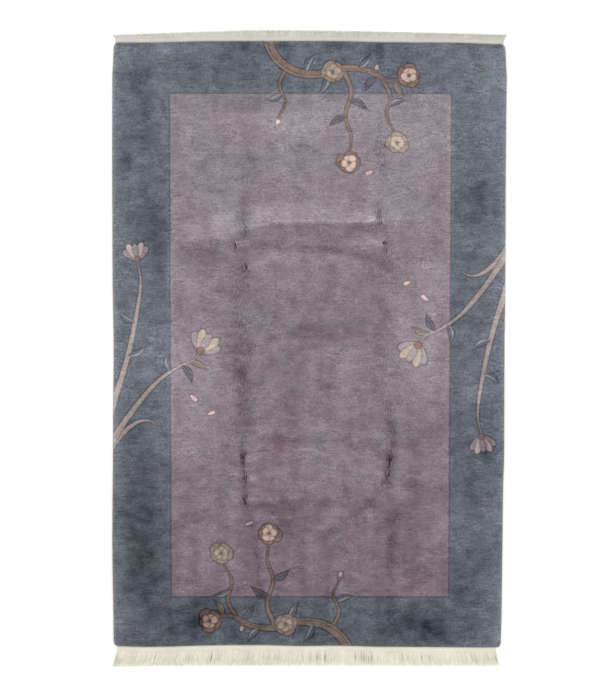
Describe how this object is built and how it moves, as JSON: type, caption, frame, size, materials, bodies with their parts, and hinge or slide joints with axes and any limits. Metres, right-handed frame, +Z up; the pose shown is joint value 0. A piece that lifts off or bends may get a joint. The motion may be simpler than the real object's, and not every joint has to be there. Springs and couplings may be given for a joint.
{
  "type": "modern rug",
  "caption": "Large rectangular pile rug with a wide border, carved flower and branch motifs and a short fringe at both ends, lying flat on the floor.",
  "frame": {"origin": "on the floor, under the middle of the overall width and length", "axes": "+X across the width, +Y along the length towards the end with the shorter fringe, +Z up out of the pile"},
  "size_m": [2.0198, 3.2611, 0.0152],
  "materials": {
    "wool_pile": "soft cut wool pile, matt with a faint sheen",
    "cotton_fringe": "undyed cotton warp ends, matt"
  },
  "bodies": {
    "root": {"rug_body": "wool_pile", "fringe_top": "cotton_fringe", "fringe_bottom": "cotton_fringe"}
  },
  "joints": []
}
